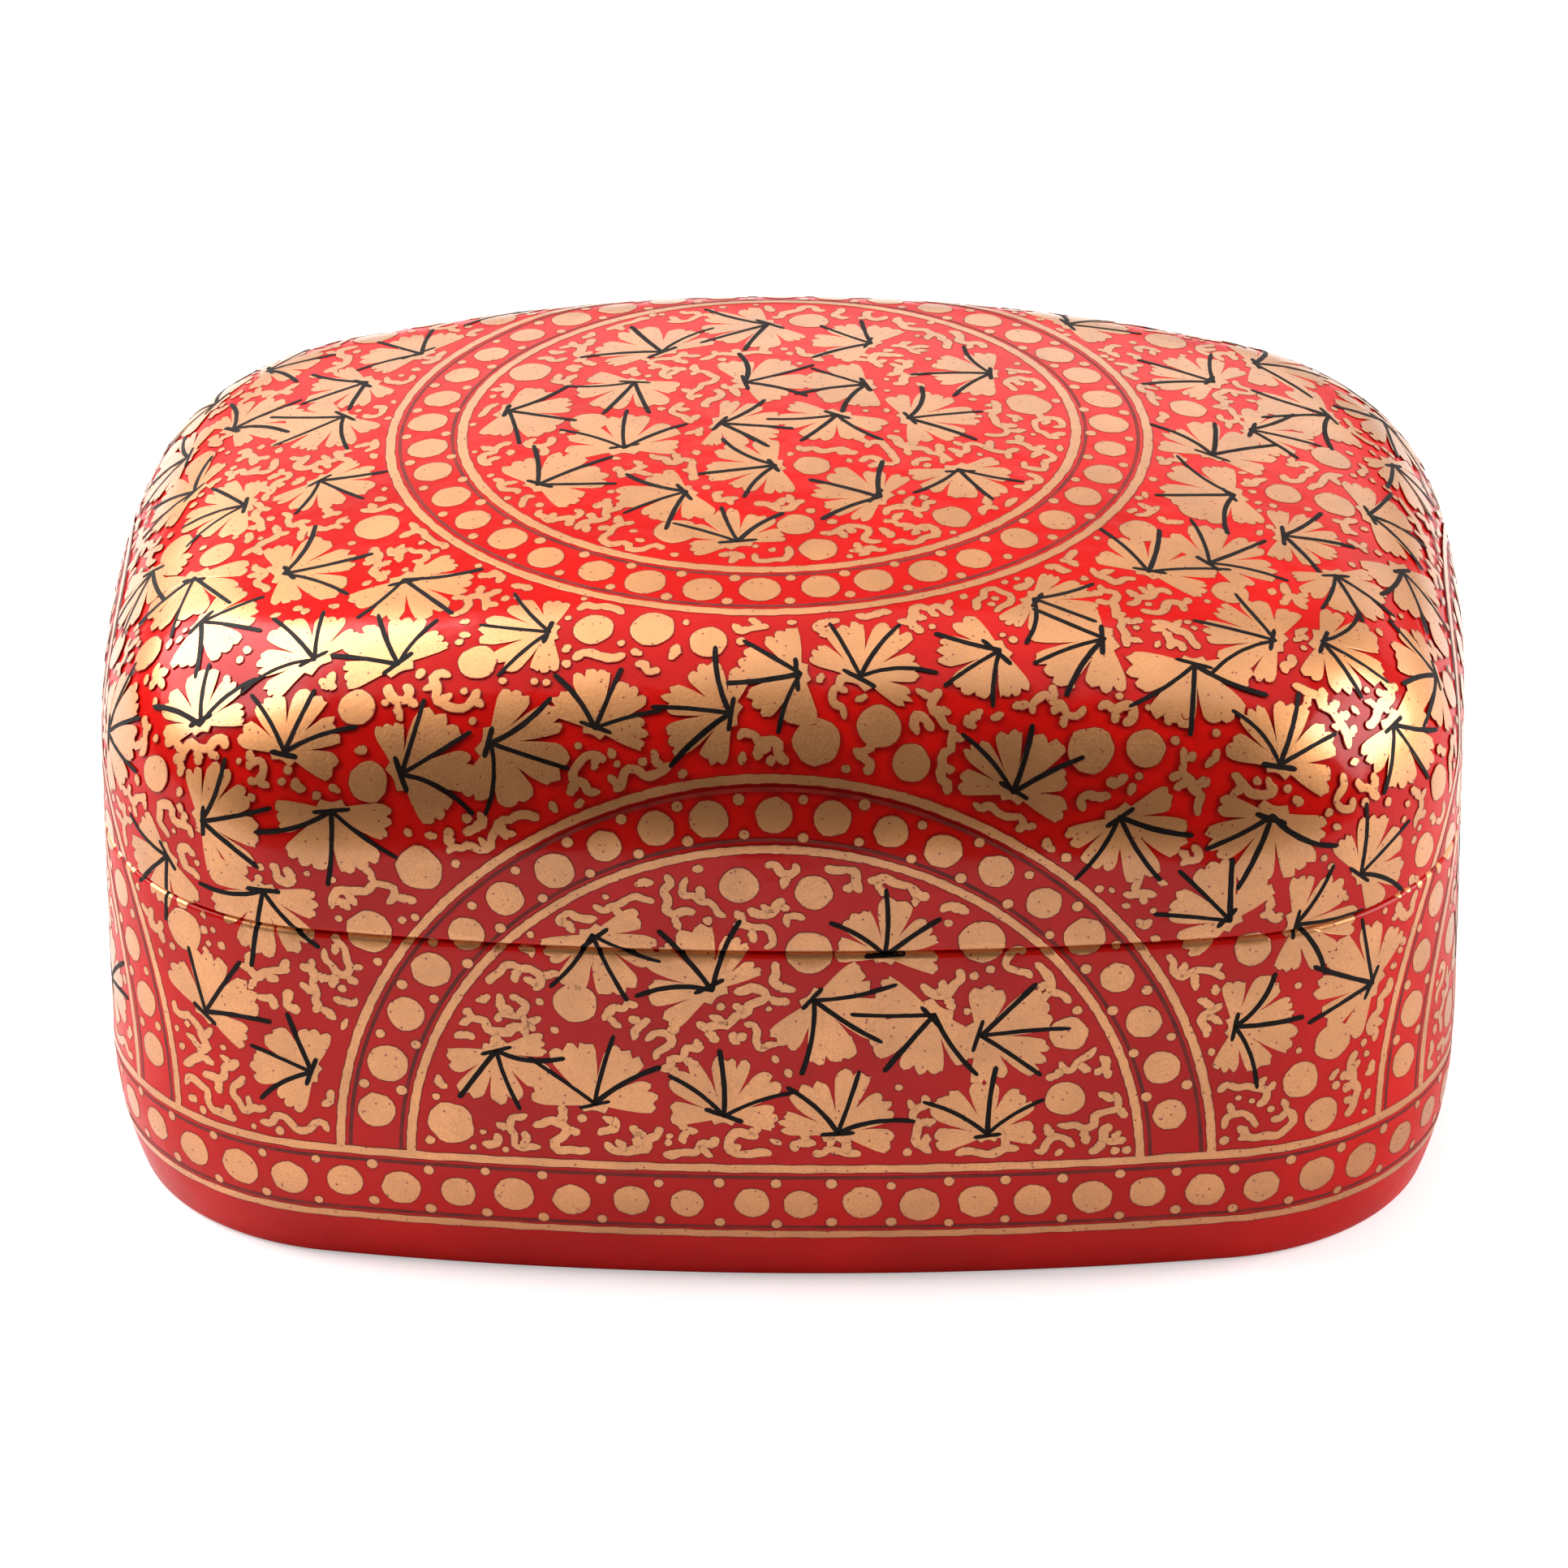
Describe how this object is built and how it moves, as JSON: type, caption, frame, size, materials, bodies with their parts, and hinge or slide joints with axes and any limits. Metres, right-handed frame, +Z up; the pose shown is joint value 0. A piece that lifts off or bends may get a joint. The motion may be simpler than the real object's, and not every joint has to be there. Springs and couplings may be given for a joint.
{
  "type": "papier mache box",
  "caption": "Lacquered papier mache trinket box with bowed sides and a low domed lid that lifts off a glued inner collar; red ground with gold leaf-and-bead ornament.",
  "frame": {"origin": "middle of the footprint, on the surface that the box stands on", "axes": "+X along the width, -Y towards the front long side, +Z up through the lid"},
  "size_m": [0.127, 0.092, 0.0649],
  "materials": {
    "red_lacquer": "gloss",
    "black_lacquer": "gloss",
    "gold_paint": "satin",
    "black_ink": "satin",
    "velvet": "matte"
  },
  "bodies": {
    "base": {"base_shell": "red_lacquer", "rim_collar": "black_lacquer", "floor_lining": "velvet"},
    "lid": {"lid_shell": "red_lacquer"}
  },
  "joints": [
    {"name": "lid_lift", "type": "slide", "parent": "base", "child": "lid", "axis": [0, 0, 1], "range_m": [0, 0.07]}
  ]
}
